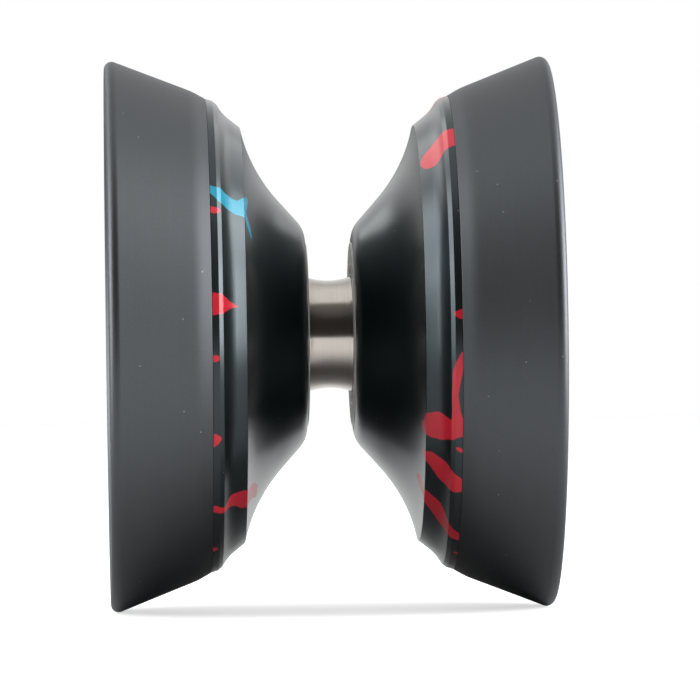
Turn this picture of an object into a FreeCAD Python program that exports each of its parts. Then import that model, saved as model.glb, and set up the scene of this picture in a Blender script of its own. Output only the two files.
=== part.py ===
import FreeCAD, Part
import math
import os

# Ball-bearing yo-yo: two turned halves on a set screw, with a ball bearing between them.
# Frame: origin at the centre of the bearing, +X along the axle, +Z up, millimetres.
# Every outline below is drawn for the right half as corners at (x, radius), with x measured
# from the middle plane, and is turned about the X axis.

# Driving dimensions ---------------------------------------------------------------------------

# Overall
half_width = 22.75           # middle plane to the outer face of a rim ring
rim_radius = 28.25           # largest radius of a rim ring
string_gap = 4.6             # between the two hub faces

# Ball bearing
race_width = 5.0
race_bore_radius = 2.5
race_end_radius = 5.85       # outer race, at its two ends
race_waist = 0.35            # how far the outer race dips in the middle, to centre the string
race_end_land = 0.35         # straight land at each end of the outer race
ball_radius = 0.79
ball_count = 8
race_shoulder = 0.6          # radial gap from the ball circle to each race's shoulder
raceway_clearance = 0.05
race_edge = 0.12             # chamfers on the races
cage_half_thickness = 0.34
cage_half_width = 1.15
cage_pocket_clearance = 0.08
cage_drill_overrun = 0.5     # beyond the cage, inside and outside
shield_inset = 0.30          # outer face of the snap ring, below the race's end
snap_ring_thickness = 0.22
snap_ring_depth = 0.22       # groove in the outer race that holds the snap ring
snap_ring_width = 0.45
snap_ring_gap_degrees = 24.0
shield_thickness = 0.18
shield_seat_depth = 0.25     # step in the outer race that the shield lies on
shield_running_gap = 0.20    # between the shield and the inner race

# Axle: a set screw, drawn as its major diameter
axle_radius = 2.0
axle_length = 16.0
axle_end_chamfer = 0.4
axle_socket_across_flats = 2.0
axle_socket_depth = 2.2
axle_clearance = 0.05

# Hub of each half
post_clearance = 0.03        # bearing bore to bearing post
post_tip_gap = 0.3           # between the tips of the two posts
post_tip_chamfer = 0.12
seat_radius = 3.3            # shoulder that the inner race is clamped against
recess_clearance = 0.3       # round the outer race
recess_floor_gap = 0.4       # beside the outer race
pad_land = 1.0               # between the bearing recess and the pad groove
pad_width = 2.3
pad_groove_depth = 1.1
pad_side_clearance = 0.03
pad_proud = 0.05             # pad face stands proud of the hub face
pad_chamfer = 0.12
hub_lip_offset = 0.10        # outer lip of the hub lies this much behind the hub face
hub_lip_width = 1.3          # from the pad groove to where the hub lip and the cone would meet
hub_edge_fillet = 2.8

# Gap side of each half
cone_angle = 48.5            # from the axis
flare_angle = 77.7           # from the axis, where the flare reaches the flange
flare_fillet = 16.5
flange_x = 8.92
flange_radius = 21.35
hollow_x = 10.65             # where the band turns steeper
hollow_radius = 22.72
hollow_fillet = 4.4
bevel_x = 11.32              # where the band ends and the bevel starts
bevel_radius = 23.78
land_x = 11.74               # where the bevel ends and the narrow land starts
land_radius = 24.12

# Rim ring, pressed on the spigot of the body
ring_start_x = 12.45
ring_slope = 21.35           # from the axis
ring_crown_fillet = 0.78
ring_lead_length = 1.3       # steeper lead at the thin end
ring_lead_drop = 0.25
ring_lead_fillet = 7.0
ring_start_wall = 0.78       # ring thickness at its thin end
ring_mouth_chamfer = 0.5
ring_mouth_step = 0.2
press_interference = 0.02
spigot_chamfer = 0.25

# Cup on the outer side of each half
hub_wall = 2.1               # cup floor, behind the pad groove
cone_wall = 1.9
cup_wall = 1.6               # under the rim ring
cup_corner_fillet = 2.5
cup_floor_fillet = 2.0
boss_radius = 4.6
boss_end_x = 11.0
boss_base_fillet = 1.2
boss_nose_fillet = 2.2
tap_runout = 0.8             # bore depth past the end of the axle
tap_point = 1.2              # cone left by the drill

# Derived values -------------------------------------------------------------------------------

hub_face_x = string_gap / 2.0
pad_face_x = hub_face_x - pad_proud
pad_floor_x = hub_face_x + pad_groove_depth
hub_lip_x = hub_face_x + hub_lip_offset
seat_x = race_width / 2.0
recess_floor_x = seat_x + recess_floor_gap
recess_radius = race_end_radius + recess_clearance
post_radius = race_bore_radius - post_clearance
bore_radius = axle_radius + axle_clearance
bore_end_x = axle_length / 2.0 + tap_runout
pad_inner_radius = recess_radius + pad_land
pad_outer_radius = pad_inner_radius + pad_width
hub_edge_radius = pad_outer_radius + hub_lip_width
ball_pitch_radius = (race_bore_radius + race_end_radius) / 2.0
inner_race_radius = ball_pitch_radius - race_shoulder
outer_race_bore = ball_pitch_radius + race_shoulder
raceway_radius = ball_radius + raceway_clearance
snap_ring_outer_x = seat_x - shield_inset
snap_ring_inner_x = snap_ring_outer_x - snap_ring_thickness
shield_outer_x = snap_ring_inner_x
shield_inner_x = shield_outer_x - shield_thickness
shield_seat_radius = outer_race_bore + shield_seat_depth
snap_groove_radius = shield_seat_radius + snap_ring_depth


def direction(degrees):
    return FreeCAD.Vector(math.cos(math.radians(degrees)), 0, math.sin(math.radians(degrees)))


def crown_corner_radius():
    """Radius where the ring's slope meets its outer face, so that the fillet tops out at the rim."""
    slope = math.radians(ring_slope)
    fillet_share = 1.0 / math.cos(slope) + math.tan(slope) - 1.0
    return rim_radius + ring_crown_fillet * fillet_share


def slope_radius(x):
    """Radius of the ring's slope at a distance x from the middle plane."""
    return crown_corner_radius() - (half_width - x) * math.tan(math.radians(ring_slope))


ring_start_radius = slope_radius(ring_start_x) - ring_lead_drop
spigot_radius = ring_start_radius - ring_start_wall
cup_radius = spigot_radius - cup_wall
cup_floor_x = pad_floor_x + hub_wall
body_end_x = half_width - ring_mouth_chamfer


# Outline and turning helpers ------------------------------------------------------------------

def crossing(point_a, degrees_a, point_b, degrees_b):
    """Where two lines meet, each given by a point (x, radius) and its angle to the axis."""
    a = direction(degrees_a)
    b = direction(degrees_b)
    gap_x = point_b[0] - point_a[0]
    gap_r = point_b[1] - point_a[1]
    along = (gap_x * b.z - gap_r * b.x) / (a.x * b.z - a.z * b.x)
    return (point_a[0] + along * a.x, point_a[1] + along * a.z)


def shifted(point, degrees, distance):
    """A point moved square to a line of that angle, towards the cup side."""
    line = direction(degrees)
    return (point[0] + distance * line.z, point[1] - distance * line.x)


def sharp(x, radius):
    return (x, radius, 0, 0)


def rounded(x, radius, fillet):
    return (x, radius, fillet, 0)


def chamfered(x, radius, leg):
    return (x, radius, 0, leg)


def outline_edges(corners):
    """Closed chain of lines, with a tangent arc or a chamfer where a corner asks for one."""
    count = len(corners)
    points = [FreeCAD.Vector(corner[0], 0, corner[1]) for corner in corners]
    starts = []
    ends = []
    edges = []
    for index in range(count):
        corner = points[index]
        fillet = corners[index][2]
        leg = corners[index][3]
        back = (points[index - 1] - corner).normalize()
        ahead = (points[(index + 1) % count] - corner).normalize()
        if fillet > 0:
            half_angle = back.getAngle(ahead) / 2.0
            leg = fillet / math.tan(half_angle)
            bisector = (back + ahead).normalize()
            middle = corner + bisector * (fillet / math.sin(half_angle) - fillet)
            edges.append(Part.Arc(corner + back * leg, middle, corner + ahead * leg).toShape())
        elif leg > 0:
            edges.append(Part.makeLine(corner + back * leg, corner + ahead * leg))
        starts.append(corner + back * leg)
        ends.append(corner + ahead * leg)
    for index in range(count):
        start = ends[index]
        end = starts[(index + 1) % count]
        if start.distanceToPoint(end) > 1e-6:
            edges.append(Part.makeLine(start, end))
    return edges


def turned(corners):
    """Solid of revolution about the X axis."""
    face = Part.Face(Part.Wire(Part.__sortEdges__(outline_edges(corners))))
    solid = face.revolve(FreeCAD.Vector(0, 0, 0), FreeCAD.Vector(1, 0, 0), 360)
    return Part.Solid(solid.Shells[0]) if solid.ShapeType != "Solid" else solid


def mirrored(shape):
    return shape.mirror(FreeCAD.Vector(0, 0, 0), FreeCAD.Vector(1, 0, 0))


def save(shape, node):
    for solid in shape.Solids:
        if not solid.isValid():
            raise ValueError("not a valid solid: " + node)
    shape.exportStep("parts/" + node + ".step")
    print(node, len(shape.Solids), "solid(s)", round(shape.Volume, 3), "mm3")


# The halves -----------------------------------------------------------------------------------

def gap_side():
    """Corners of the face towards the string: hub lip, cone, flare, flange, band and land."""
    flange = (flange_x, flange_radius)
    hub_edge = (hub_lip_x, hub_edge_radius)
    flare = crossing(hub_edge, cone_angle, flange, flare_angle)
    return [
        rounded(*hub_edge, hub_edge_fillet),
        rounded(*flare, flare_fillet),
        sharp(*flange),
        rounded(hollow_x, hollow_radius, hollow_fillet),
        sharp(bevel_x, bevel_radius),
        sharp(land_x, land_radius),
        sharp(ring_start_x, ring_start_radius),
    ]


def cup_side():
    """Corners of the cup, from its mouth to the boss: parallel to the gap side, one wall away."""
    hub_edge = (hub_lip_x, hub_edge_radius)
    flange = (flange_x, flange_radius)
    cone_point = shifted(hub_edge, cone_angle, cone_wall)
    flare_point = shifted(flange, flare_angle, cone_wall)
    wall = crossing(flare_point, flare_angle, (0, cup_radius), 0)
    flare = crossing(cone_point, cone_angle, flare_point, flare_angle)
    floor = crossing(cone_point, cone_angle, (cup_floor_x, 0), 90)
    return [
        chamfered(body_end_x, spigot_radius, spigot_chamfer),
        chamfered(body_end_x, cup_radius, spigot_chamfer),
        rounded(*wall, cup_corner_fillet),
        rounded(*flare, flare_fillet + cone_wall),
        rounded(*floor, cup_floor_fillet),
        rounded(cup_floor_x, boss_radius, boss_base_fillet),
        rounded(boss_end_x, boss_radius, boss_nose_fillet),
        sharp(boss_end_x, 0),
    ]


def body():
    """One half, turned from bar: bearing post and recess, pad groove, flare, spigot and cup."""
    post_tip_x = post_tip_gap / 2.0
    hub = [
        sharp(bore_end_x + tap_point, 0),
        sharp(bore_end_x, bore_radius),
        sharp(post_tip_x, bore_radius),
        chamfered(post_tip_x, post_radius, post_tip_chamfer),
        sharp(seat_x, post_radius),
        sharp(seat_x, seat_radius),
        sharp(recess_floor_x, seat_radius),
        sharp(recess_floor_x, recess_radius),
        sharp(hub_face_x, recess_radius),
        sharp(hub_face_x, pad_inner_radius),
        sharp(pad_floor_x, pad_inner_radius),
        sharp(pad_floor_x, pad_outer_radius),
        sharp(hub_lip_x, pad_outer_radius),
    ]
    shoulder = [sharp(ring_start_x, spigot_radius)]
    return turned(hub + gap_side() + shoulder + cup_side())


def rim_ring():
    """Ring pressed on the spigot, against the body's shoulder, flush with the land."""
    bore = spigot_radius - press_interference
    mouth = bore + ring_mouth_step
    lead_end_x = ring_start_x + ring_lead_length
    return turned([
        sharp(ring_start_x, bore),
        sharp(ring_start_x, ring_start_radius),
        rounded(lead_end_x, slope_radius(lead_end_x), ring_lead_fillet),
        rounded(half_width, crown_corner_radius(), ring_crown_fillet),
        sharp(half_width, mouth + ring_mouth_chamfer),
        sharp(body_end_x, mouth),
        sharp(body_end_x, bore),
    ])


def response_pad():
    """Silicone ring that grips the string, glued in the groove of the hub face."""
    inner = pad_inner_radius + pad_side_clearance
    outer = pad_outer_radius - pad_side_clearance
    return turned([
        sharp(pad_floor_x, inner),
        chamfered(pad_face_x, inner, pad_chamfer),
        chamfered(pad_face_x, outer, pad_chamfer),
        sharp(pad_floor_x, outer),
    ])


# The axle -------------------------------------------------------------------------------------

def axle_screw():
    """Set screw with a hexagon socket in its right end."""
    half = axle_length / 2.0
    screw = turned([
        sharp(-half, 0),
        chamfered(-half, axle_radius, axle_end_chamfer),
        chamfered(half, axle_radius, axle_end_chamfer),
        sharp(half, 0),
    ])
    corner_radius = axle_socket_across_flats / math.sqrt(3.0)
    corners = []
    for step in range(7):
        turn = math.radians(60.0 * step)
        y = corner_radius * math.cos(turn)
        z = corner_radius * math.sin(turn)
        corners.append(FreeCAD.Vector(half - axle_socket_depth, y, z))
    hexagon = Part.Face(Part.makePolygon(corners))
    socket = hexagon.extrude(FreeCAD.Vector(axle_socket_depth + axle_end_chamfer, 0, 0))
    return screw.cut(socket)


# The bearing ----------------------------------------------------------------------------------

def ball_directions():
    """Unit vector from the axle to each ball."""
    turns = [2.0 * math.pi * index / ball_count for index in range(ball_count)]
    return [FreeCAD.Vector(0, math.cos(turn), math.sin(turn)) for turn in turns]


def balls():
    centres = [spoke * ball_pitch_radius for spoke in ball_directions()]
    return Part.makeCompound([Part.makeSphere(ball_radius, centre) for centre in centres])


def raceway():
    """Ring that cuts the ball groove in both races."""
    origin = FreeCAD.Vector(0, 0, 0)
    return Part.makeTorus(ball_pitch_radius, raceway_radius, origin, FreeCAD.Vector(1, 0, 0))


def inner_race():
    race = turned([
        chamfered(-seat_x, race_bore_radius, race_edge),
        chamfered(-seat_x, inner_race_radius, race_edge),
        chamfered(seat_x, inner_race_radius, race_edge),
        chamfered(seat_x, race_bore_radius, race_edge),
    ])
    return race.cut(raceway())


def waist_cutter():
    """Turned cutter with a large radius, which dips the middle of the outer race."""
    half_span = seat_x - race_end_land
    radius = (half_span ** 2 + race_waist ** 2) / (2.0 * race_waist)
    start = FreeCAD.Vector(-half_span, 0, race_end_radius)
    lowest = FreeCAD.Vector(0, 0, race_end_radius - race_waist)
    end = FreeCAD.Vector(half_span, 0, race_end_radius)
    top = race_end_radius + radius
    edges = [
        Part.Arc(start, lowest, end).toShape(),
        Part.makeLine(end, FreeCAD.Vector(half_span, 0, top)),
        Part.makeLine(FreeCAD.Vector(half_span, 0, top), FreeCAD.Vector(-half_span, 0, top)),
        Part.makeLine(FreeCAD.Vector(-half_span, 0, top), start),
    ]
    face = Part.Face(Part.Wire(edges))
    return face.revolve(FreeCAD.Vector(0, 0, 0), FreeCAD.Vector(1, 0, 0), 360)


def outer_race():
    """Outer race with a waist, and a shield seat and snap-ring groove at each end."""
    half = [
        (shield_inner_x, outer_race_bore),
        (shield_inner_x, shield_seat_radius),
        (snap_ring_inner_x, shield_seat_radius),
        (snap_ring_inner_x, snap_groove_radius),
        (snap_ring_outer_x, snap_groove_radius),
        (snap_ring_outer_x, shield_seat_radius),
        (seat_x, shield_seat_radius),
    ]
    right = [sharp(x, radius) for x, radius in half]
    left = [sharp(-x, radius) for x, radius in reversed(half)]
    outside = [
        chamfered(seat_x, race_end_radius, race_edge),
        chamfered(-seat_x, race_end_radius, race_edge),
    ]
    race = turned(right + outside + left)
    return race.cut(waist_cutter()).cut(raceway())


def cage():
    """Ring between the races, with a drilled pocket for each ball."""
    inner = ball_pitch_radius - cage_half_thickness
    outer = ball_pitch_radius + cage_half_thickness
    ring = turned([
        sharp(-cage_half_width, inner),
        sharp(-cage_half_width, outer),
        sharp(cage_half_width, outer),
        sharp(cage_half_width, inner),
    ])
    drill_radius = ball_radius + cage_pocket_clearance
    drill_length = outer - inner + 2.0 * cage_drill_overrun
    for spoke in ball_directions():
        start = spoke * (inner - cage_drill_overrun)
        ring = ring.cut(Part.makeCylinder(drill_radius, drill_length, start, spoke))
    return ring


def shield():
    """Thin washer that keeps dust out, clear of the inner race."""
    inner = inner_race_radius + shield_running_gap
    return turned([
        sharp(shield_inner_x, inner),
        sharp(shield_inner_x, shield_seat_radius),
        sharp(shield_outer_x, shield_seat_radius),
        sharp(shield_outer_x, inner),
    ])


def snap_ring():
    """Split wire ring that holds the shield in the outer race."""
    inner = snap_groove_radius - snap_ring_width
    ring = turned([
        sharp(snap_ring_inner_x, inner),
        sharp(snap_ring_inner_x, snap_groove_radius),
        sharp(snap_ring_outer_x, snap_groove_radius),
        sharp(snap_ring_outer_x, inner),
    ])
    half_gap = snap_groove_radius * math.sin(math.radians(snap_ring_gap_degrees / 2.0))
    corner = FreeCAD.Vector(snap_ring_inner_x, -half_gap, 0)
    split = Part.makeBox(snap_ring_thickness, 2.0 * half_gap, 2.0 * race_end_radius, corner)
    return ring.cut(split)


# Export ---------------------------------------------------------------------------------------

os.makedirs("parts", exist_ok=True)

handed_pieces = {
    "body": body(),
    "rim_ring": rim_ring(),
    "response_pad": response_pad(),
    "bearing_shield": shield(),
    "shield_snap_ring": snap_ring(),
}
for name, piece in handed_pieces.items():
    save(mirrored(piece), "left_" + name)
    save(piece, "right_" + name)

save(axle_screw(), "axle_screw")
save(inner_race(), "bearing_inner_race")
save(outer_race(), "bearing_outer_race")
save(balls(), "bearing_balls")
save(cage(), "bearing_cage")
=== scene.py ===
# %% [markdown]
# # A ball-bearing yo-yo
#
# Two flared aluminium halves are joined by a set screw, and a small ball bearing between them
# carries the string. Nearly every piece was cut on a lathe, so nearly every piece here is an
# outline that is spun round the axle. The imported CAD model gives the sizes, the places and the
# bodies that move. Blender adds the fine edges, the thread, the dye and the finishes.

import math
import random

import bpy
import numpy as np
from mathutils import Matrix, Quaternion, Vector


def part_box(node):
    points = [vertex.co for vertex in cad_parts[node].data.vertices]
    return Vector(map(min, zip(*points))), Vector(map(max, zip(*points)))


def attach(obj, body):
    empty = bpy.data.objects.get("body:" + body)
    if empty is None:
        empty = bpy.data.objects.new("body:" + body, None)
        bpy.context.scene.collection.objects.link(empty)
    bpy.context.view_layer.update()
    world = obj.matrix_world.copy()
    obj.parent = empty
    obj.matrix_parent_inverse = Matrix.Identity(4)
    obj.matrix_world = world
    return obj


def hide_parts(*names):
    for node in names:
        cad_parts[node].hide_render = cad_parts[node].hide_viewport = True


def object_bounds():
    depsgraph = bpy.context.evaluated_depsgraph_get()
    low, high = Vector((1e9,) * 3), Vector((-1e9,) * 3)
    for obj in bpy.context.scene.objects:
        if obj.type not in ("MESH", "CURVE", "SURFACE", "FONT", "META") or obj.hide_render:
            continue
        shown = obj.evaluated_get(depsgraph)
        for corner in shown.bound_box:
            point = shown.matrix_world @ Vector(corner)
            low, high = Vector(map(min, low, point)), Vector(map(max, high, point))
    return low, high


MM = 0.001
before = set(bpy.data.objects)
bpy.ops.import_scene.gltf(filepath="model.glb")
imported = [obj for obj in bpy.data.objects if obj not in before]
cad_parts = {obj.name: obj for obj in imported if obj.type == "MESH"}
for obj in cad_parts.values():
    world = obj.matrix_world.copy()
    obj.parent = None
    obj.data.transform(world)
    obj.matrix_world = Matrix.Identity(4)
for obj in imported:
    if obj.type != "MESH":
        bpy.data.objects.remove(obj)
cad_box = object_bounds()
bpy.ops.object.select_all(action="DESELECT")
print("nodes:", sorted(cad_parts))

# %% [markdown]
# ## Sizes from the frame
#
# Everything is turned about the X axis, so two numbers place a point: how far it lies from the
# middle plane, and its radius. Both are kept in millimetres until a vertex is made. The largest
# sizes are read from the frame, and the rest of each outline repeats the turner's drawing.

# %% Read the main sizes
ring_low, ring_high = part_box("right_rim_ring")
race_low, race_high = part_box("bearing_outer_race")
HALF_WIDTH = ring_high.x / MM
RING_START = ring_low.x / MM
RACE_END = race_high.x / MM
RACE_RADIUS = race_high.z / MM
print(f"half width {HALF_WIDTH:.2f} mm, ring starts at {RING_START:.2f} mm")
print(f"race end {RACE_END:.2f} mm, race radius {RACE_RADIUS:.2f} mm")

# %% [markdown]
# ## From corners to an outline
#
# A turner's drawing gives sharp corners and says how far each is rounded. This helper does the
# rounding: it walks back from the corner along both lines, and swings an arc between the two
# points, in as few pieces as keep within a few microns of the true arc. No piece is longer than
# a set step either. It also leaves a holding point just outside each arc. Smooth shading blends
# the direction of neighbouring faces, and the holding point keeps that blend out of the flat run.

# %% Round the corners of an outline
CHORD_ERROR = 0.008            # all three in millimetres
CHORD_STEP = 0.56
HOLD = 0.05


def rounded_corner(before, corner, after, rounding):
    """Points of the arc that rounds one corner, with a holding point at each end."""
    back = (before - corner).normalized()
    ahead = (after - corner).normalized()
    half_angle = back.angle(ahead) / 2
    reach = rounding / math.tan(half_angle)
    centre = corner + (back + ahead).normalized() * rounding / math.sin(half_angle)
    spoke = corner + back * reach - centre
    turn = spoke.angle_signed(corner + ahead * reach - centre)
    widest = min(2 * math.acos(1 - CHORD_ERROR / rounding), CHORD_STEP / rounding)
    pieces = max(3, math.ceil(abs(turn) / widest))
    points = [corner + back * (reach + HOLD)]
    for step in range(pieces + 1):
        cos = math.cos(-turn * step / pieces)
        sin = math.sin(-turn * step / pieces)
        swung = Vector((spoke.x * cos - spoke.y * sin, spoke.x * sin + spoke.y * cos))
        points.append(centre + swung)
    return points + [corner + ahead * (reach + HOLD)]


def rounded_outline(corners, closed=True):
    """Points (x, radius) of an outline whose corners are (x, radius, rounding)."""
    points = []
    for index, (x, radius, rounding) in enumerate(corners):
        if rounding == 0:
            points.append(Vector((x, radius)))
            continue
        before = Vector(corners[index - 1][:2])
        after = Vector(corners[(index + 1) % len(corners)][:2])
        points += rounded_corner(before, Vector((x, radius)), after, rounding)
    return points + points[:1] if closed else points


def flipped(corners):
    """The same outline for the left half."""
    return [(-x, radius, rounding) for x, radius, rounding in corners]


# %% [markdown]
# ## The lathe
#
# A plane is added and merged to one vertex, and that vertex is extruded along the outline. The
# Screw modifier then turns the wire about the X axis. With no rise to its turn, the screw is a
# lathe. The Spin tool gives the same shape, but it grows slow when the turn has hundreds of
# steps. Doubles are merged where the turn closes and on the axis, and the normals are
# recalculated to face outwards. Shading is smooth except across corners sharper than 30 degrees.

# %% Turn an outline on the lathe
TURN_STEPS = 440
CORNER_ANGLE = math.radians(30)
WELD = 0.0005                  # millimetres


def drawn_wire(name, points):
    """A wire in edit mode, extruded point by point along an outline in millimetres."""
    bpy.ops.mesh.primitive_plane_add(size=MM)
    piece = bpy.context.object
    piece.name = name
    bpy.ops.object.mode_set(mode="EDIT")
    bpy.ops.mesh.select_all(action="SELECT")
    bpy.ops.mesh.merge(type="CENTER")
    bpy.ops.transform.translate(value=(points[0].x * MM, 0, points[0].y * MM))
    for start, end in zip(points, points[1:]):
        step = (end - start) * MM
        bpy.ops.mesh.extrude_region_move(TRANSFORM_OT_translate={"value": (step.x, 0, step.y)})
    bpy.ops.mesh.select_all(action="SELECT")
    return piece


def screwed(piece, steps, rise=0.0, turns=1):
    """Turns a wire about the X axis with an applied Screw modifier. The rise is in millimetres."""
    bpy.ops.object.mode_set(mode="OBJECT")
    screw = piece.modifiers.new("turning", "SCREW")
    screw.axis = "X"
    screw.angle = math.tau
    screw.screw_offset = rise * MM
    screw.iterations = turns
    screw.steps = screw.render_steps = steps
    bpy.ops.object.modifier_apply(modifier=screw.name)
    bpy.ops.object.mode_set(mode="EDIT")
    bpy.ops.mesh.select_all(action="SELECT")
    bpy.ops.mesh.remove_doubles(threshold=WELD * MM)


def turned(name, points, steps=TURN_STEPS):
    """A mesh object turned about the X axis from points (x, radius) in millimetres."""
    piece = drawn_wire(name, points)
    screwed(piece, steps)
    bpy.ops.mesh.normals_make_consistent(inside=False)
    bpy.ops.object.mode_set(mode="OBJECT")
    bpy.ops.object.shade_smooth_by_angle(angle=CORNER_ANGLE)
    print(f"{name}: {len(points)} outline points, {len(piece.data.polygons)} faces")
    piece.select_set(False)
    return piece


# %% [markdown]
# ## The two halves
#
# Each half is one piece turned from bar. Its outline starts in the tapped hole for the axle,
# goes round the bearing post, the recess and the groove for the silicone pad, and climbs the
# cone and the flare to a sharp flange. A hollow band, a bright bevel and a narrow land follow,
# and then the step that the rim ring is pressed on. The rest is the thin-walled cup with a round
# boss, where the fingers grip. The edges get the small roundings that deburring leaves.

# %% Outline of a half
DEBURR = 0.06
PAD_GROOVE_CORNER = (3.4, 9.45)
RING_START_RADIUS = 24.34
SPIGOT_RADIUS = 23.56
CUP_RADIUS = 21.96
BODY_END = HALF_WIDTH - 0.5

hub_corners = [
    (10.0, 0, 0),              # drill point
    (8.8, 2.05, 0),
    (0.15, 2.05, 0),           # mouth of the tapped hole
    (0.15, 2.47, 0.12),        # tip of the bearing post
    (2.5, 2.47, 0),
    (2.5, 3.3, DEBURR),        # shoulder for the inner race
    (2.9, 3.3, 0),
    (2.9, 6.15, 0),            # recess round the outer race
    (2.3, 6.15, DEBURR),
    (2.3, 7.15, DEBURR),
    (3.4, 7.15, 0),            # pad groove
    (*PAD_GROOVE_CORNER, 0),
    (2.4, 9.45, DEBURR),
]
gap_corners = [
    (2.4, 10.75, 2.8),         # hub edge
    (7.985, 17.063, 16.5),     # cone into flare
    (8.92, 21.35, 0.10),       # flange
    (10.65, 22.72, 4.4),       # hollow of the band
    (11.32, 23.78, 0.08),      # bevel
    (11.74, 24.12, 0.05),      # land
    (RING_START, RING_START_RADIUS, 0.05),
]
cup_corners = [
    (RING_START, SPIGOT_RADIUS, 0),
    (BODY_END, SPIGOT_RADIUS, 0.25),
    (BODY_END, CUP_RADIUS, 0.25),
    (10.998, CUP_RADIUS, 2.5),
    (9.736, 16.175, 18.4),
    (5.5, 11.387, 2.0),        # edge of the cup floor
    (5.5, 4.6, 1.2),           # foot of the boss
    (11.0, 4.6, 2.2),
    (11.0, 0, 0),
]
print("corners of a half:", len(hub_corners + gap_corners + cup_corners))

# %% [markdown]
# The dye further down is painted on the vertices of the gap side, so its long runs need more
# of them than their shape does. This helper adds points until none is further than a set step
# from the next.

# %% Turn the halves
DYE_STEP = 0.28


def with_close_points(points, longest):
    """The same points with more between them, so that no step is longer than this."""
    result = [points[0]]
    for start, end in zip(points, points[1:]):
        pieces = math.ceil((end - start).length / longest)
        result += [start.lerp(end, (step + 1) / pieces) for step in range(pieces)]
    return result


outline = rounded_outline(hub_corners + gap_corners + cup_corners, closed=False)
gap_start = outline.index(Vector(PAD_GROOVE_CORNER)) + 1
gap_end = outline.index(Vector((RING_START, SPIGOT_RADIUS)))
gap_points = with_close_points(outline[gap_start:gap_end], DYE_STEP)
half_points = outline[:gap_start] + gap_points + outline[gap_end:]
right_half = turned("right_half_body", half_points)
left_half = turned("left_half_body", [Vector((-point.x, point.y)) for point in half_points])
for piece, side in ((left_half, "left"), (right_half, "right")):
    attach(piece, side + "_half")
    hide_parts(side + "_body")

# %% [markdown]
# ## The rim rings
#
# A separate ring is pressed on each half. It carries weight far from the axle, so the yo-yo
# spins longer. A short lead, steeper and blended in, meets the land of the half. The ring then
# slopes outwards to a rounded crown. Its mouth has a small chamfer.

# %% Turn the rings
CROWN_CORNER = 28.612
RING_BORE = 23.54
ring_corners = [
    (RING_START, RING_BORE, 0),
    (RING_START, RING_START_RADIUS, 0.08),
    (RING_START + 1.3, 25.094, 7.0),
    (HALF_WIDTH, CROWN_CORNER, 0.78),
    (HALF_WIDTH, 24.24, 0.1),
    (BODY_END, 23.74, 0.05),
    (BODY_END, RING_BORE, 0),
]
for side, corners in (("left", flipped(ring_corners)), ("right", ring_corners)):
    ring = turned(side + "_ring", rounded_outline(corners))
    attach(ring, side + "_half")
    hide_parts(side + "_rim_ring")

# %% [markdown]
# ## The response pads
#
# A flat silicone ring sits in a groove of each hub face. The string bunches up against it and
# winds itself in when the player tugs. Moulded silicone has soft edges.

# %% Turn the pads
pad_corners = [
    (3.4, 7.18, 0),
    (2.25, 7.18, 0.15),
    (2.25, 9.42, 0.15),
    (3.4, 9.42, 0),
]
for side, corners in (("left", flipped(pad_corners)), ("right", pad_corners)):
    pad = turned(side + "_pad", rounded_outline(corners))
    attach(pad, side + "_half")
    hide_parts(side + "_response_pad")

# %% [markdown]
# ## The outer race of the bearing
#
# The race dips in the middle, which keeps the string away from both hub faces. It is ground
# all over. Inside it has the ball groove, and at each end a step for the shield and a slot for
# the snap ring that holds it. The dip and the groove are arcs, so they are written as points.

# %% Turn the outer race
WAIST_DIP = 0.35
RACE_LAND = 0.35
RACE_BORE = 4.775
SHIELD_SEAT = 5.025
BALL_CIRCLE = 4.175
GROOVE_RADIUS = 0.84
WAIST_PIECES = 28
GROOVE_PIECES = 16


def arc(centre_radius, arc_radius, half_span, pieces):
    """Corners of an arc over x from -half_span to half_span. A negative radius bulges inwards."""
    corners = []
    for step in range(pieces + 1):
        x = half_span * (2 * step / pieces - 1)
        rise = math.copysign(math.sqrt(arc_radius ** 2 - x ** 2), arc_radius)
        corners.append((x, centre_radius + rise, 0))
    return corners


waist_span = RACE_END - RACE_LAND
waist_radius = (waist_span ** 2 + WAIST_DIP ** 2) / (2 * WAIST_DIP)
waist = arc(RACE_RADIUS - WAIST_DIP + waist_radius, -waist_radius, waist_span, WAIST_PIECES)
groove_span = math.sqrt(GROOVE_RADIUS ** 2 - (RACE_BORE - BALL_CIRCLE) ** 2)
groove = arc(BALL_CIRCLE, GROOVE_RADIUS, groove_span, GROOVE_PIECES)
race_side = [
    (1.80, RACE_BORE, 0),
    (1.80, SHIELD_SEAT, 0),
    (1.98, SHIELD_SEAT, 0),
    (1.98, 5.245, 0),          # slot of the snap ring
    (2.20, 5.245, 0),
    (2.20, SHIELD_SEAT, 0),
    (RACE_END, SHIELD_SEAT, 0.05),
    (RACE_END, RACE_RADIUS, 0.12),
]
race_corners = groove + race_side + waist[::-1] + flipped(race_side)[::-1]
outer_race = turned("ground_outer_race", rounded_outline(race_corners))
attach(outer_race, "bearing_outer")
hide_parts("bearing_outer_race")

# %% [markdown]
# ## The set screw
#
# The axle is a headless M4 screw. Its thread is one tooth's outline carried round and along the
# axis by the Screw modifier, which is what a die does. The ends are cut flat with Bisect, and
# an intersection with a plain blank, turned with chamfers and a hexagon socket, finishes them.

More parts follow.
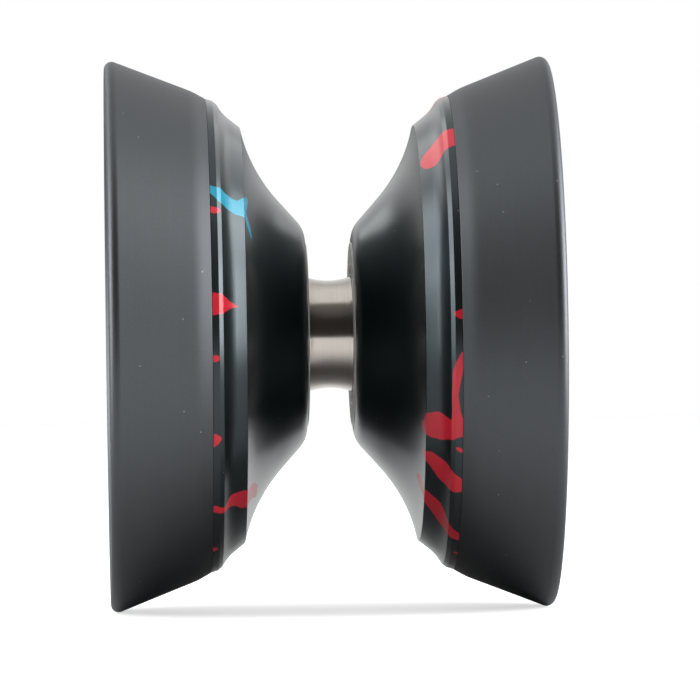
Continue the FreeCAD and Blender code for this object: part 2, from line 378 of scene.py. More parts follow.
# %% Cut the thread
PITCH = 0.7
CREST = 2.0
ROOT = 1.57
SCREW_HALF = 8.0
THREAD_TURNS = 26
THREAD_STEPS = 72
OVERCUT = 0.2
tooth = [(0, ROOT), (1 / 8, ROOT), (7 / 16, CREST), (9 / 16, CREST), (7 / 8, ROOT), (1, ROOT)]
thread_start = -THREAD_TURNS * PITCH / 2
tooth_points = [Vector((thread_start + share * PITCH, radius)) for share, radius in tooth]
axle = drawn_wire("threaded_axle", tooth_points)
screwed(axle, THREAD_STEPS, rise=PITCH, turns=THREAD_TURNS)
for end in (-1, 1):
    bpy.ops.mesh.select_all(action="SELECT")
    cut = end * (SCREW_HALF + OVERCUT) * MM
    bpy.ops.mesh.bisect(
        plane_co=(cut, 0, 0), plane_no=(end, 0, 0), use_fill=True, clear_outer=True)
bpy.ops.mesh.select_all(action="SELECT")
bpy.ops.mesh.normals_make_consistent(inside=False)
bpy.ops.object.mode_set(mode="OBJECT")
print("thread:", len(axle.data.polygons), "faces")
axle.select_set(False)

# %% Turn the blank and its hexagon socket
SOCKET_FLATS = 2.0
SOCKET_DEPTH = 2.2
END_RADIUS = 1.55
BLANK_RADIUS = 2.05
BLANK_STEPS = 96
END_CHAMFER = BLANK_RADIUS - END_RADIUS
blank_corners = [
    (-SCREW_HALF, 0, 0),
    (-SCREW_HALF, END_RADIUS, 0),
    (-SCREW_HALF + END_CHAMFER, BLANK_RADIUS, 0),
    (SCREW_HALF - END_CHAMFER, BLANK_RADIUS, 0),
    (SCREW_HALF, END_RADIUS, 0),
    (SCREW_HALF, 0, 0),
]
blank = turned("screw_blank", rounded_outline(blank_corners, closed=False), BLANK_STEPS)
bpy.ops.mesh.primitive_cylinder_add(
    vertices=6, radius=SOCKET_FLATS / math.sqrt(3) * MM, depth=2 * SOCKET_DEPTH * MM,
    location=(SCREW_HALF * MM, 0, 0), rotation=(0, math.pi / 2, 0))
socket = bpy.context.object
socket.select_set(False)


# %% Finish the screw
def cut_with(piece, tool, operation):
    """Applies a Boolean modifier and removes the tool."""
    bpy.context.view_layer.objects.active = piece
    boolean = piece.modifiers.new(operation, "BOOLEAN")
    boolean.operation = operation
    boolean.object = tool
    boolean.solver = "EXACT"
    bpy.ops.object.modifier_apply(modifier=boolean.name)
    bpy.data.objects.remove(tool)


cut_with(blank, socket, "DIFFERENCE")
cut_with(axle, blank, "INTERSECT")
axle.data.materials.clear()
axle.select_set(True)
bpy.ops.object.shade_smooth_by_angle(angle=CORNER_ANGLE)
axle.select_set(False)
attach(axle, "axle")
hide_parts("axle_screw")
print("finished screw:", len(axle.data.polygons), "faces")

# %% [markdown]
# ## Where the dye was splashed
#
# The halves are dyed by hand. Red and blue dye are flicked on before the black, and leave drops
# with tails that cross the band and run in under the ring. Each splash here is a string of
# drops: where it lies across the half, how far round it is turned, and how large it is. A
# tapered stroke joins one drop to the next, and where two strokes meet they flow together.

# %% List the splashes that face the front
# each drop: (x, turn in degrees from the front towards the top, radius), for the right half
left_blue = [
    [(13.0, 37.3, 0.5), (12.2, 36.9, 0.52), (11.3, 36.1, 0.92), (9.9, 35.4, 0.85),
     (8.92, 36.4, 0.9)],
    [(8.92, 37.5, 0.8), (8.6, 42.5, 0.3)],
    [(8.92, 35.4, 0.7), (8.45, 33.0, 0.45), (8.19, 30.5, 0.12)],
]
left_red = [
    [(12.9, 31.1, 0.42), (12.0, 31.2, 0.38), (11.4, 31.5, 0.12)],
    [(12.9, 7.4, 1.18), (12.3, 7.5, 1.14), (11.6, 7.6, 1.0), (11.1, 7.6, 0.72),
     (10.5, 7.6, 0.28), (9.8, 7.6, 0.08)],
    [(12.7, -5.4, 0.30), (12.2, -5.4, 0.36), (12.0, -5.4, 0.30)],
    [(12.9, -25.7, 0.9), (12.4, -25.4, 0.68), (12.0, -25.3, 0.40), (11.65, -25.3, 0.08)],
    [(12.9, -45.3, 0.42), (12.3, -45.7, 0.42), (11.5, -47.3, 0.36), (11.1, -47.6, 0.45),
     (10.55, -46.8, 0.8), (9.6, -48.4, 0.95), (8.92, -51.0, 1.1), (8.5, -53.5, 1.05),
     (8.1, -58.0, 0.75), (7.9, -63.0, 0.3)],
    [(12.8, -62.4, 0.5), (12.3, -63.0, 0.4), (11.9, -63.2, 0.14)],
]
right_red = [
    [(13.2, 54.3, 1.5), (12.3, 54.4, 1.52), (11.0, 54.2, 1.75), (10.3, 52.6, 1.65)],
    [(12.9, 4.2, 0.62), (12.3, 4.3, 0.48), (11.9, 4.4, 0.28), (11.62, 4.4, 0.07)],
    [(12.42, -4.9, 0.15), (12.1, -7.5, 0.42), (11.88, -9.5, 0.52), (11.72, -12.5, 0.42),
     (11.63, -15.0, 0.36), (11.74, -19.0, 0.46), (11.9, -22.0, 0.7)],
    [(12.9, -23.2, 0.95), (12.0, -23.6, 0.82), (11.2, -24.2, 1.1), (10.2, -24.6, 1.5),
     (9.5, -25.2, 1.35), (8.92, -26.2, 0.85), (8.7, -27.2, 0.6)],
    [(12.6, -29.3, 0.26), (11.95, -28.8, 0.22)],
    [(8.8, -35.2, 0.45), (9.5, -35.4, 0.85), (10.75, -37.7, 1.42), (11.6, -39.0, 1.15),
     (12.15, -39.3, 0.8), (12.9, -39.6, 0.7)],
    [(8.5, -48.5, 0.7), (8.92, -50.0, 0.95), (10.0, -51.9, 1.2), (10.9, -55.9, 1.1),
     (11.8, -57.8, 0.78), (12.6, -58.7, 0.55)],
    [(12.7, -67.0, 0.45), (12.1, -67.2, 0.18)],
]
print("splashes at the front:", len(left_blue) + len(left_red) + len(right_red))

# %% [markdown]
# The hand that flicked the dye went all the way round, so the back gets splashes of the same
# kinds. A seeded random generator draws them: mostly drops with a tail, a few long strokes.

# %% Scatter splashes round the back
BACK_START = 80                # degrees
BACK_SPAN = 200
DROP_X = 12.8                  # where a drop lies, under the edge of the ring
STROKE_X = 12.6
TAIL_X = 12.3
FLANGE_X = 8.95


def scattered(seed, count):
    """Splashes between 80 and 280 degrees round, each a fat start that tapers to a tail."""
    rng = random.Random(seed)
    splashes = []
    for index in range(count):
        turn = BACK_START + BACK_SPAN * (index + rng.uniform(0.2, 0.8)) / count
        size = rng.choice((0.3, 0.5, 0.8, 1.2))
        reach = rng.uniform(0.6, 1.4) + size * 1.6
        slant = rng.uniform(-5, 5)
        end = max(FLANGE_X, TAIL_X - reach)
        middle = (STROKE_X + end) / 2
        splashes.append([
            (DROP_X, turn, size),
            (middle, turn + slant * 0.4, size * rng.uniform(0.6, 1.2)),
            (end, turn + slant, 0.1 if rng.random() < 0.6 else size * 0.8),
        ])
    return splashes


left_red += scattered(11, 11)
left_blue += scattered(12, 4)
right_red += scattered(13, 12)
right_blue = scattered(14, 3)
print("splashes:", len(left_red) + len(left_blue) + len(right_red) + len(right_blue))

# %% [markdown]
# The signed distance to the nearest stroke is stored on each vertex: positive inside the dye,
# negative outside. The material cuts it at zero, which gives a crisp edge between vertices too.

# %% Measure each vertex's distance to the dye
FAR = -5.0                     # millimetres
gap_x = [point.x for point in gap_points]
gap_radii = [point.y for point in gap_points]


def drop_place(x, turn, side):
    """Where a drop lies on the gap side, in millimetres."""
    radius = np.interp(min(x, RING_START), gap_x, gap_radii)
    angle = math.radians(turn)
    return np.array([side * x, -radius * math.cos(angle), radius * math.sin(angle)])


def dye_depth(piece, splashes, side):
    """Depth in millimetres of each vertex inside the nearest stroke: negative outside."""
    flat = np.empty(len(piece.data.vertices) * 3)
    piece.data.vertices.foreach_get("co", flat)
    spots = flat.reshape(-1, 3) / MM
    depth = np.full(len(spots), FAR)
    for splash in splashes:
        drops = [(drop_place(x, turn, side), size) for x, turn, size in splash]
        for (start, start_size), (end, end_size) in zip(drops, drops[1:]):
            run = end - start
            share = np.clip((spots - start) @ run / (run @ run), 0, 1)
            away = np.linalg.norm(spots - start - share[:, None] * run, axis=1)
            depth = np.maximum(depth, start_size + (end_size - start_size) * share - away)
    return depth


def store(piece, name, values):
    """Keeps one value for each vertex as an attribute that the material can read."""
    attribute = piece.data.attributes.new(name, "FLOAT", "POINT")
    attribute.data.foreach_set("value", values.astype(np.float32))
    print(f"{piece.name} {name}: {int((values > 0).sum())} vertices dyed")


for piece, side, reds, blues in (
    (left_half, -1, left_red, left_blue),
    (right_half, 1, right_red, right_blue),
):
    store(piece, "red_dye", dye_depth(piece, reds, side))
    store(piece, "blue_dye", dye_depth(piece, blues, side))

# %% [markdown]
# ## Building a material
#
# A material is a small tree of nodes. One function adds a node, sets its properties and its
# inputs, and links an input when it is given another node's socket. Colours are written as the
# hex values that a colour picker shows, and one function turns them to linear light.

# %% Helpers for materials


def colour(hex_value):
    """Linear RGBA from an sRGB hex string."""
    channels = [int(hex_value[place:place + 2], 16) / 255 for place in (1, 3, 5)]
    return [c / 12.92 if c <= 0.04045 else ((c + 0.055) / 1.055) ** 2.4 for c in channels] + [1]


def add_node(tree, kind, inputs=None, **properties):
    """Adds a shader node. An input is named or numbered, and takes a value or a socket."""
    made = tree.nodes.new("ShaderNode" + kind)
    for name, value in properties.items():
        setattr(made, name, value)
    for name, value in (inputs or {}).items():
        if isinstance(value, bpy.types.NodeSocket):
            tree.links.new(value, made.inputs[name])
        else:
            made.inputs[name].default_value = value
    return made


def new_material(name):
    """An empty node tree of a new material."""
    material = bpy.data.materials.new(name)
    material.use_nodes = True
    material.node_tree.nodes.clear()
    return material, material.node_tree


def finish_material(tree, inputs):
    """Adds the shader and the output."""
    shader = add_node(tree, "BsdfPrincipled", inputs)
    add_node(tree, "OutputMaterial", {"Surface": shader.outputs[0]})


# %% [markdown]
# ## Marks that the lathe leaves
#
# A turning tool leaves a fine groove that runs round the work. The pattern depends on x and on
# the radius, and hardly on the turn, so those two drive a noise texture at the spacing of the
# grooves. Y and Z move it very slowly, which keeps each line from being a perfect circle.

# %% Grooves round the axis
DRIFT = 0.02


def lathe_marks(tree, spacing):
    """Noise socket, 0 to 1, in lines round the X axis with a spacing in millimetres."""
    place = add_node(tree, "TexCoord")
    mm = add_node(tree, "VectorMath", {
        0: place.outputs["Object"], "Scale": 1 / MM,
    }, operation="SCALE")
    axes = add_node(tree, "SeparateXYZ", {0: mm.outputs[0]})
    spoke = add_node(tree, "CombineXYZ", {"Y": axes.outputs["Y"], "Z": axes.outputs["Z"]})
    radius = add_node(tree, "VectorMath", {0: spoke.outputs[0]}, operation="LENGTH")
    drift = add_node(tree, "Math", {0: axes.outputs["Y"], 1: DRIFT}, operation="MULTIPLY")
    wander = add_node(tree, "Math", {0: axes.outputs["Z"], 1: DRIFT}, operation="MULTIPLY")
    lines = add_node(tree, "CombineXYZ", {
        "X": axes.outputs["X"], "Y": radius.outputs["Value"], "Z": drift.outputs[0],
    })
    noise = add_node(tree, "TexNoise", {
        "Vector": lines.outputs[0], "W": wander.outputs[0], "Scale": 1 / spacing, "Detail": 2.0,
    }, noise_dimensions="4D")
    return noise.outputs["Fac"]


# %% [markdown]
# A Voronoi texture splits space into cells, each with a point and a random colour. A speck of
# dust shows where the point is near and the colour's red is low, so only some cells have one.

# %% Specks of dust
DUST_CELL = 2.0                # millimetres


def dust(tree, radius, share):
    """Mask socket, 0 or 1, of specks of a radius in millimetres, in a share of the cells."""
    place = add_node(tree, "TexCoord")
    specks = add_node(tree, "TexVoronoi", {
        "Vector": place.outputs["Object"], "Scale": 1 / (DUST_CELL * MM),
    })
    near = add_node(tree, "Math", {
        0: specks.outputs["Distance"], 1: radius / DUST_CELL,
    }, operation="LESS_THAN")
    tint = add_node(tree, "SeparateColor", {0: specks.outputs["Color"]})
    chosen = add_node(tree, "Math", {0: tint.outputs["Red"], 1: share}, operation="LESS_THAN")
    both = add_node(tree, "Math", {0: near.outputs[0], 1: chosen.outputs[0]}, operation="MULTIPLY")
    return both.outputs[0]


# %% [markdown]
# ## Dyed and gloss anodised aluminium
#
# Anodising grows a clear, hard skin of oxide on the metal, and the dye sits in its pores. The
# skin gives the eye a soft gloss, like a thin coat of varnish, and the black dye swallows the
# light that reaches the metal. Red and blue dye let it back out, so the splashes glow even where
# nothing bright is mirrored: there the shader is less of a mirror and more of a pigment. Polishing
# has worn the lathe marks down to a trace, so their bump is very faint and the gloss is even.

# %% Gloss anodised and splash-dyed finish
DYE_EDGE = 0.03                # millimetres to each side of the dye's edge
CLOUD_SIZE = 2.5
BUMP_HEIGHT = 0.02             # millimetres, for every anodised or moulded surface
# each pair: the value on the black, and the value on the dyed spots
HALF_ROUGHNESS = (0.275, 0.3)
HALF_METAL = (0.78, 0.1)
HALF_COAT = (0.6, 0.12)
half_finish, tree = new_material("gloss_anodised_aluminium_splash_dyed")
red = add_node(tree, "Attribute", attribute_name="red_dye")
blue = add_node(tree, "Attribute", attribute_name="blue_dye")
red_mask = add_node(tree, "MapRange", {0: red.outputs["Fac"], 1: -DYE_EDGE, 2: DYE_EDGE})
blue_mask = add_node(tree, "MapRange", {0: blue.outputs["Fac"], 1: -DYE_EDGE, 2: DYE_EDGE})
dyed = add_node(tree, "Math", {
    0: red_mask.outputs[0], 1: blue_mask.outputs[0],
}, operation="MAXIMUM")
place = add_node(tree, "TexCoord")
cloud = add_node(tree, "TexNoise", {
    "Vector": place.outputs["Object"], "Scale": 1 / (CLOUD_SIZE * MM), "Detail": 3.0,
})
black = add_node(tree, "Mix", {
    0: cloud.outputs["Fac"], 6: colour("#283135"), 7: colour("#2e393d"),
}, data_type="RGBA")
reddened = add_node(tree, "Mix", {
    0: red_mask.outputs[0], 6: black.outputs[2], 7: colour("#d62436"),
}, data_type="RGBA")
blued = add_node(tree, "Mix", {
    0: blue_mask.outputs[0], 6: reddened.outputs[2], 7: colour("#0896b4"),
}, data_type="RGBA")
dusted = add_node(tree, "Mix", {
    0: dust(tree, radius=0.07, share=0.3), 6: blued.outputs[2], 7: colour("#8d9294"),
}, data_type="RGBA")
gloss = add_node(tree, "MapRange", {
    0: dyed.outputs[0], 3: HALF_ROUGHNESS[0], 4: HALF_ROUGHNESS[1],
})
metal = add_node(tree, "MapRange", {0: dyed.outputs[0], 3: HALF_METAL[0], 4: HALF_METAL[1]})
skin = add_node(tree, "MapRange", {0: dyed.outputs[0], 3: HALF_COAT[0], 4: HALF_COAT[1]})
groove = add_node(tree, "Bump", {
    "Height": lathe_marks(tree, spacing=0.22), "Strength": 0.005, "Distance": BUMP_HEIGHT * MM,
})
finish_material(tree, {
    "Base Color": dusted.outputs[2],
    "Metallic": metal.outputs[0],
    "Roughness": gloss.outputs[0],
    "Normal": groove.outputs[0],
    "Coat Weight": skin.outputs[0],
    "Coat Roughness": 0.28,
    "Coat IOR": 1.45,
})
for piece in (left_half, right_half):
    piece.data.materials.append(half_finish)
print(half_finish.name, "nodes:", len(tree.nodes))

# %% [markdown]
# ## Blasted and anodised aluminium
#
# The rings are blasted with fine beads before they are anodised a dark grey. The tiny dents
# spread each reflection wide, so the eye sees a soft sheen that fades slowly round the ring and
# a grain at the edge of sight. Beads of 0.1 mm leave dents too fine to draw, so the grain is
# drawn at 0.18 mm. Faint lathe marks show through, and a few specks of lint sit on top.

# %% Finish of the rings
DENT_SIZE = 0.18
MARKS_SHARE = 0.4              # how much the lathe marks count beside the dents
PATTERN = (0.4, 1.0)           # range of the two together
RING_ROUGHNESS = (0.46, 0.54)
ring_finish, tree = new_material("fine_blasted_anodised_aluminium_charcoal")
place = add_node(tree, "TexCoord")
dents = add_node(tree, "TexNoise", {
    "Vector": place.outputs["Object"], "Scale": 1 / (DENT_SIZE * MM), "Detail": 2.0,
})
pattern = add_node(tree, "Math", {
    0: lathe_marks(tree, spacing=0.35), 1: MARKS_SHARE, 2: dents.outputs["Fac"],
}, operation="MULTIPLY_ADD")
shade = add_node(tree, "MapRange", {0: pattern.outputs[0], 1: PATTERN[0], 2: PATTERN[1]})
grey = add_node(tree, "Mix", {
    0: shade.outputs[0], 6: colour("#545659"), 7: colour("#5b5e61"),
}, data_type="RGBA")
linted = add_node(tree, "Mix", {
    0: dust(tree, radius=0.09, share=0.55), 6: grey.outputs[2], 7: colour("#8f9295"),
}, data_type="RGBA")
rough = add_node(tree, "MapRange", {
    0: pattern.outputs[0], 1: PATTERN[0], 2: PATTERN[1],
    3: RING_ROUGHNESS[0], 4: RING_ROUGHNESS[1],
})
pits = add_node(tree, "Bump", {
    "Height": dents.outputs["Fac"], "Strength": 0.10, "Distance": BUMP_HEIGHT * MM,
})
finish_material(tree, {
    "Base Color": linted.outputs[2],
    "Metallic": 1.0,
    "Roughness": rough.outputs[0],
    "Normal": pits.outputs[0],
})
for side in ("left", "right"):
    bpy.data.objects[side + "_ring"].data.materials.append(ring_finish)
print(ring_finish.name, "nodes:", len(tree.nodes))

# %% [markdown]
# ## Silicone
#
# The pads are moulded from pale, slightly clear silicone. Its skin is satin with a fine texture
# from the mould, and light goes a little way in before it comes out, which softens the shading.

# %% Finish of the pads
TEXTURE_SIZE = 0.25
pad_finish, tree = new_material("moulded_silicone_pale")
place = add_node(tree, "TexCoord")
skin = add_node(tree, "TexNoise", {
    "Vector": place.outputs["Object"], "Scale": 1 / (TEXTURE_SIZE * MM), "Detail": 2.0,
})
pale = add_node(tree, "Mix", {
    0: skin.outputs["Fac"], 6: colour("#e9e7e1"), 7: colour("#f1efea"),
}, data_type="RGBA")
satin = add_node(tree, "MapRange", {0: skin.outputs["Fac"], 3: 0.26, 4: 0.36})
texture = add_node(tree, "Bump", {
    "Height": skin.outputs["Fac"], "Strength": 0.2, "Distance": BUMP_HEIGHT * MM,
})
finish_material(tree, {
    "Base Color": pale.outputs[2],
    "Roughness": satin.outputs[0],
    "Normal": texture.outputs[0],
    "Subsurface Weight": 0.3,
    "Subsurface Radius": (0.6 * MM, 0.5 * MM, 0.4 * MM),
    "Subsurface Scale": 1.0,
    "IOR": 1.41,
})
for side in ("left", "right"):
    bpy.data.objects[side + "_pad"].data.materials.append(pad_finish)
print(pad_finish.name, "nodes:", len(tree.nodes))

# %% [markdown]
# ## Metals that are turned, ground, pressed or drawn
#
# The races, the balls, the cage, the shields and the snap rings are bare metal. They differ in
# colour, in how they were made and so in how fine the lines round them are. One function makes
# them all, from two shades and two roughnesses that the lines vary between, and from the spacing
# and the depth of the lines.

# %% Finishes of the small metal parts
LINE_STRENGTH = 0.3


def turned_metal(name, dark, light, smooth, rough, spacing, depth):
    """A bare metal with fine lines round the axis, their spacing and depth in millimetres."""
    material, tree = new_material(name)
    marks = lathe_marks(tree, spacing)
    shade = add_node(tree, "Mix", {0: marks, 6: colour(dark), 7: colour(light)}, data_type="RGBA")
    gloss = add_node(tree, "MapRange", {0: marks, 3: smooth, 4: rough})
    groove = add_node(tree, "Bump", {
        "Height": marks, "Strength": LINE_STRENGTH, "Distance": depth * MM,
    })
    finish_material(tree, {
        "Base Color": shade.outputs[2],
        "Metallic": 1.0,
        "Roughness": gloss.outputs[0],
        "Normal": groove.outputs[0],
    })
    return material


# a grinding wheel leaves lines of some 0.02 mm, drawn at 0.12 mm so that they show
ground_steel = turned_metal("ground_bearing_steel", "#c2bab2", "#d2cbc4", 0.12, 0.20, 0.12, 0.0015)
# balls are lapped to a mirror, with only a trace of swirl
lapped_steel = turned_metal("lapped_chrome_steel", "#cfcfd2", "#dadadc", 0.04, 0.07, 0.3, 0.0002)
# the cage is turned from brass and has dulled a little in its oil
oiled_brass = turned_metal("turned_brass_oiled", "#b8924c", "#dcbb74", 0.25, 0.38, 0.15, 0.004)
# the shields are pressed from brushed sheet
pressed_sheet = turned_metal(
    "pressed_stainless_sheet_brushed", "#b4b4b5", "#cdcdcd", 0.24, 0.36, 0.1, 0.003)
# drawing through a die leaves spring wire smooth and slightly dark
spring_wire = turned_metal("drawn_spring_steel", "#98989b", "#b2b2b5", 0.20, 0.30, 0.1, 0.002)
outer_race.data.materials.append(ground_steel)
node_finishes = {
    "bearing_inner_race": ground_steel,
    "bearing_balls": lapped_steel,
    "bearing_cage": oiled_brass,
    "left_bearing_shield": pressed_sheet,
    "right_bearing_shield": pressed_sheet,
    "left_shield_snap_ring": spring_wire,
    "right_shield_snap_ring": spring_wire,
}
for node, material in node_finishes.items():
    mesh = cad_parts[node].data
    mesh.materials.clear()
    mesh.materials.append(material)
print("bare metal finishes:", len(set(node_finishes.values())))

# %% [markdown]
# ## Black oxide
#
# The set screw is steel, blackened in hot salts. The black is only a few microns thick, so it
# wears to bright steel along the crests of the thread, where the screw has been in and out.

# %% Finish of the screw
WORN = (1.97, 2.04)            # radius in millimetres where wear starts, and where it is full
RAGGED = 0.12                  # how far the edge of the wear wanders
screw_finish, tree = new_material("black_oxide_steel_worn_at_the_crests")
place = add_node(tree, "TexCoord")
mm = add_node(tree, "VectorMath", {
    0: place.outputs["Object"], "Scale": 1 / MM,
}, operation="SCALE")
across = add_node(tree, "VectorMath", {0: mm.outputs[0], 1: (0, 1, 1)}, operation="MULTIPLY")
radius = add_node(tree, "VectorMath", {0: across.outputs[0]}, operation="LENGTH")
blotch = add_node(tree, "TexNoise", {"Vector": mm.outputs[0], "Scale": 3.0, "Detail": 3.0})
ragged = add_node(tree, "Math", {
    0: blotch.outputs["Fac"], 1: RAGGED, 2: radius.outputs["Value"],
}, operation="MULTIPLY_ADD")
worn = add_node(tree, "MapRange", {0: ragged.outputs[0], 1: WORN[0], 2: WORN[1]})
oxide = add_node(tree, "Mix", {
    0: blotch.outputs["Fac"], 6: colour("#29292b"), 7: colour("#3d3c3e"),
}, data_type="RGBA")
steel = add_node(tree, "Mix", {
    0: worn.outputs[0], 6: oxide.outputs[2], 7: colour("#9b9a9a"),
}, data_type="RGBA")
matt = add_node(tree, "MapRange", {0: worn.outputs[0], 3: 0.46, 4: 0.28})
finish_material(tree, {
    "Base Color": steel.outputs[2],
    "Metallic": 1.0,
    "Roughness": matt.outputs[0],
})
axle.data.materials.append(screw_finish)
print(screw_finish.name, "nodes:", len(tree.nodes))

# %% [markdown]
# ## Floor
#
# The yo-yo stands on its rims on a sheet of white card, whose front edge is close to it. Seen by
# the camera the card is lifted to white, and the object's shadow stays on it. In what the metal
# mirrors, only the card's front is lifted, and only a little. That lift is painted light, which
# stands in for lit card, and it fades out close to the object as a painted shadow.

# %% Lay the card
CARD = (0.56, 1.8)
CARD_FRONT = -0.22
WHITE_LIFT = 0.64              # what lifts the card to white for the camera
# painted light: the card's front glows in what the metal mirrors, and the glow fades out near the
# object as painted shade
PAINTED_FRONT_GLOW = 0.14              # what lifts its front in what the metal mirrors
PAINTED_GLOW_FADE_Y = (-0.022, -0.042)    # where that starts, and where it is full
floor_height = cad_box[0].z
bpy.ops.mesh.primitive_plane_add(size=1, location=(0, 0, 0))
floor = bpy.context.object
floor.name = "floor"
bpy.ops.object.mode_set(mode="EDIT")
bpy.ops.transform.resize(value=(*CARD, 1))
bpy.ops.transform.translate(value=(0, CARD[1] / 2 + CARD_FRONT, floor_height))
bpy.ops.object.mode_set(mode="OBJECT")
floor.select_set(False)
card, tree = new_material("matt_white_card")
path = add_node(tree, "LightPath")
place = add_node(tree, "TexCoord")
axes = add_node(tree, "SeparateXYZ", {0: place.outputs["Object"]})
# painted light: glow on the card's front in reflections, zero close to the object, which makes a
# painted shadow there
front = add_node(tree, "MapRange", {
    0: axes.outputs["Y"], 1: PAINTED_GLOW_FADE_Y[0], 2: PAINTED_GLOW_FADE_Y[1], 3: 0.0, 4: PAINTED_FRONT_GLOW,
})
painted_reflection_glow = add_node(tree, "Math", {
    0: path.outputs["Is Glossy Ray"], 1: front.outputs[0],
}, operation="MULTIPLY")
lift = add_node(tree, "Math", {
    0: path.outputs["Is Camera Ray"], 1: WHITE_LIFT, 2: painted_reflection_glow.outputs[0],
}, operation="MULTIPLY_ADD")
finish_material(tree, {
    "Base Color": colour("#cfcfcf"),
    "Roughness": 0.8,
    "Emission Color": (1, 1, 1, 1),
    "Emission Strength": lift.outputs[0],
})
floor.data.materials.append(card)
print("card:", CARD, "m, at a height of", round(floor_height, 4))

# %% [markdown]
# ## Light box
#
# The object stands in a light box: white walls that glow, and an open front, which is dark. The
# world draws the box by direction alone. The opening is dark and slightly warm up to a set angle
# to each side and overhead, and a little less dark high up. The side walls are dark near the
# floor and grow brighter with height, and the back wall glows, which lights the cones only where
# they turn away. The metal mirrors this box, while the camera sees plain white.

# %% Draw the light box in the world
# each pair: where a change with direction starts, and where it is full
OPEN_SIDE = (2.6, 3.6)         # sideways over forwards, from the opening to the side wall
OPEN_TOP = (2.2, 3.6)          # upwards over forwards, from the opening to the roof
WALL_Z = (0.45, 0.95)
BACK_Y = (0.65, 0.95)
ABOVE_Z = (0.0, 0.2)
OPENING_Z = (0.5, 0.95)
DARK = 0.03
HORIZON = 0.10
OVERHEAD = 0.95
BACK = 0.85
OPENING_TOP = 0.2
WHITE = (1, 1, 1, 1)
WARM = (1.0, 0.95, 0.9, 1.0)
world = bpy.data.worlds.new("light_box")
bpy.context.scene.world = world
world.use_nodes = True
tree = world.node_tree
tree.nodes.clear()
path = add_node(tree, "LightPath")
direction = add_node(tree, "TexCoord")
axes = add_node(tree, "SeparateXYZ", {0: direction.outputs["Generated"]})
towards = add_node(tree, "Math", {0: axes.outputs["Y"], 1: -1.0}, operation="MULTIPLY")
forwards = add_node(tree, "Math", {0: towards.outputs[0], 1: 0.001}, operation="MAXIMUM")
sideways = add_node(tree, "Math", {0: axes.outputs["X"]}, operation="ABSOLUTE")
side_ratio = add_node(tree, "Math", {
    0: sideways.outputs[0], 1: forwards.outputs[0],
}, operation="DIVIDE")
up_ratio = add_node(tree, "Math", {
    0: axes.outputs["Z"], 1: forwards.outputs[0],
}, operation="DIVIDE")
side_wall = add_node(tree, "MapRange", {
    0: side_ratio.outputs[0], 1: OPEN_SIDE[0], 2: OPEN_SIDE[1],
}, interpolation_type="SMOOTHSTEP")
top_wall = add_node(tree, "MapRange", {
    0: up_ratio.outputs[0], 1: OPEN_TOP[0], 2: OPEN_TOP[1],
}, interpolation_type="SMOOTHSTEP")
walls = add_node(tree, "Math", {
    0: side_wall.outputs[0], 1: top_wall.outputs[0],
}, operation="MAXIMUM")
glow = add_node(tree, "MapRange", {
    0: axes.outputs["Z"], 1: WALL_Z[0], 2: WALL_Z[1], 3: HORIZON, 4: OVERHEAD,
})
back = add_node(tree, "MapRange", {
    0: axes.outputs["Y"], 1: BACK_Y[0], 2: BACK_Y[1], 3: 0.0, 4: BACK,
})
above = add_node(tree, "MapRange", {0: axes.outputs["Z"], 1: ABOVE_Z[0], 2: ABOVE_Z[1]})
wall = add_node(tree, "Math", {
    0: back.outputs[0], 1: above.outputs[0], 2: glow.outputs[0],
}, operation="MULTIPLY_ADD")
opening = add_node(tree, "MapRange", {
    0: axes.outputs["Z"], 1: OPENING_Z[0], 2: OPENING_Z[1], 3: DARK, 4: OPENING_TOP,
})
level = add_node(tree, "MapRange", {
    0: walls.outputs[0], 3: opening.outputs[0], 4: wall.outputs[0],
})
tint = add_node(tree, "Mix", {0: walls.outputs[0], 6: WARM, 7: WHITE}, data_type="RGBA")
strength = add_node(tree, "Mix", {0: path.outputs["Is Camera Ray"], 2: level.outputs[0], 3: 1.0})
paint = add_node(tree, "Mix", {
    0: path.outputs["Is Camera Ray"], 6: tint.outputs[2], 7: WHITE,
}, data_type="RGBA")
background = add_node(tree, "Background", {
    "Color": paint.outputs[2], "Strength": strength.outputs[0],
})
add_node(tree, "OutputWorld", {"Surface": background.outputs[0]})
print(world.name, "nodes:", len(tree.nodes))

# %% [markdown]
# Softboxes do the rest. A tall wall of light at each side draws the long bright reflection on the
# gloss bands and shades the rings. Three panels make each wall, so that its brightness can change
# with height. Two smaller panels stand behind, one to each side, and light the tops of the bands.

# %% Place the softboxes
PANEL_TINT = (0.99, 1.0, 1.0)


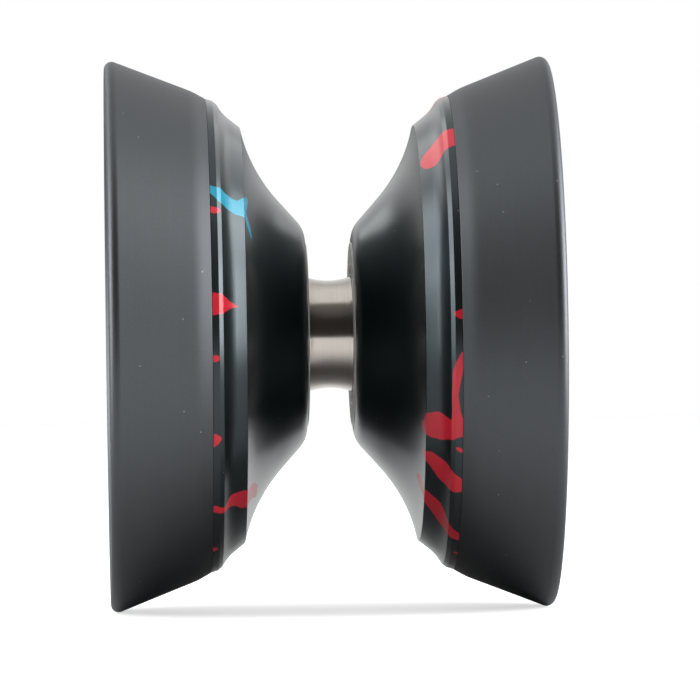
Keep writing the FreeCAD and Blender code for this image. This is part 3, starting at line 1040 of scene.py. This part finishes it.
def softbox(name, place, aim, width, height, radiance):
    """A rectangular area lamp at a place in metres, turned to face a point."""
    bpy.ops.object.light_add(type="AREA", location=place)
    lamp = bpy.context.object
    lamp.name = name
    lamp.data.shape = "RECTANGLE"
    lamp.data.size = width
    lamp.data.size_y = height
    lamp.data.energy = radiance * math.pi * width * height
    lamp.data.color = PANEL_TINT
    lamp.rotation_euler = (Vector(aim) - Vector(place)).to_track_quat("-Z", "Y").to_euler()
    lamp.visible_camera = False
    lamp.select_set(False)


softbox("right_panel", (0.8, -0.04, 0.28), (0, -0.04, 0.18), 0.72, 0.80, 5.8)
softbox("right_low_panel", (0.78, -0.04, 0.09), (0, -0.04, 0.07), 0.72, 0.42, 5.2)
softbox("right_high_panel", (0.62, -0.12, 0.60), (0, 0, 0.1), 0.40, 0.34, 2.2)
softbox("left_panel", (-0.8, 0.02, 0.11), (0, 0.02, 0.11), 0.54, 0.46, 7.6)
softbox("left_upper_panel", (-0.8, 0.02, 0.51), (0, 0.02, 0.22), 0.54, 0.36, 4.0)
softbox("left_high_panel", (-0.62, -0.12, 0.66), (0, 0, 0.1), 0.40, 0.34, 1.6)
softbox("right_back_panel", (0.42, 0.48, 0.44), (0, 0, 0), 0.40, 0.32, 1.2)
softbox("left_back_panel", (-0.44, 0.44, 0.44), (0, 0, 0), 0.40, 0.32, 2.0)
print("softboxes:", len(bpy.data.lights))

# %% [markdown]
# ## Camera
#
# A long lens from the front, a little to the left and level with the axle. The object seems to
# lean by a fraction of a degree, which the camera's roll gives.

# %% Set the camera
CAMERA_DISTANCE = 0.720
CAMERA_YAW = math.radians(2.14)
CAMERA_ROLL = math.radians(0.78)
SENSOR = 36                    # millimetres
LENS = 360.2                   # millimetres
SHIFT = (0.0304, -0.0227)
FARTHEST = 20                  # metres
bpy.ops.object.camera_add()
camera = bpy.context.object
camera.location = (
    -CAMERA_DISTANCE * math.sin(CAMERA_YAW), -CAMERA_DISTANCE * math.cos(CAMERA_YAW), 0)
facing = (-camera.location).to_track_quat("-Z", "Y")
facing.rotate(Quaternion(-camera.location, CAMERA_ROLL))
camera.rotation_mode = "QUATERNION"
camera.rotation_quaternion = facing
camera.data.sensor_width = SENSOR
camera.data.lens = LENS
camera.data.clip_end = FARTHEST
camera.data.shift_x, camera.data.shift_y = SHIFT
bpy.context.scene.camera = camera
bpy.context.scene.view_settings.view_transform = "Standard"
print("camera at", [round(value, 3) for value in camera.location])
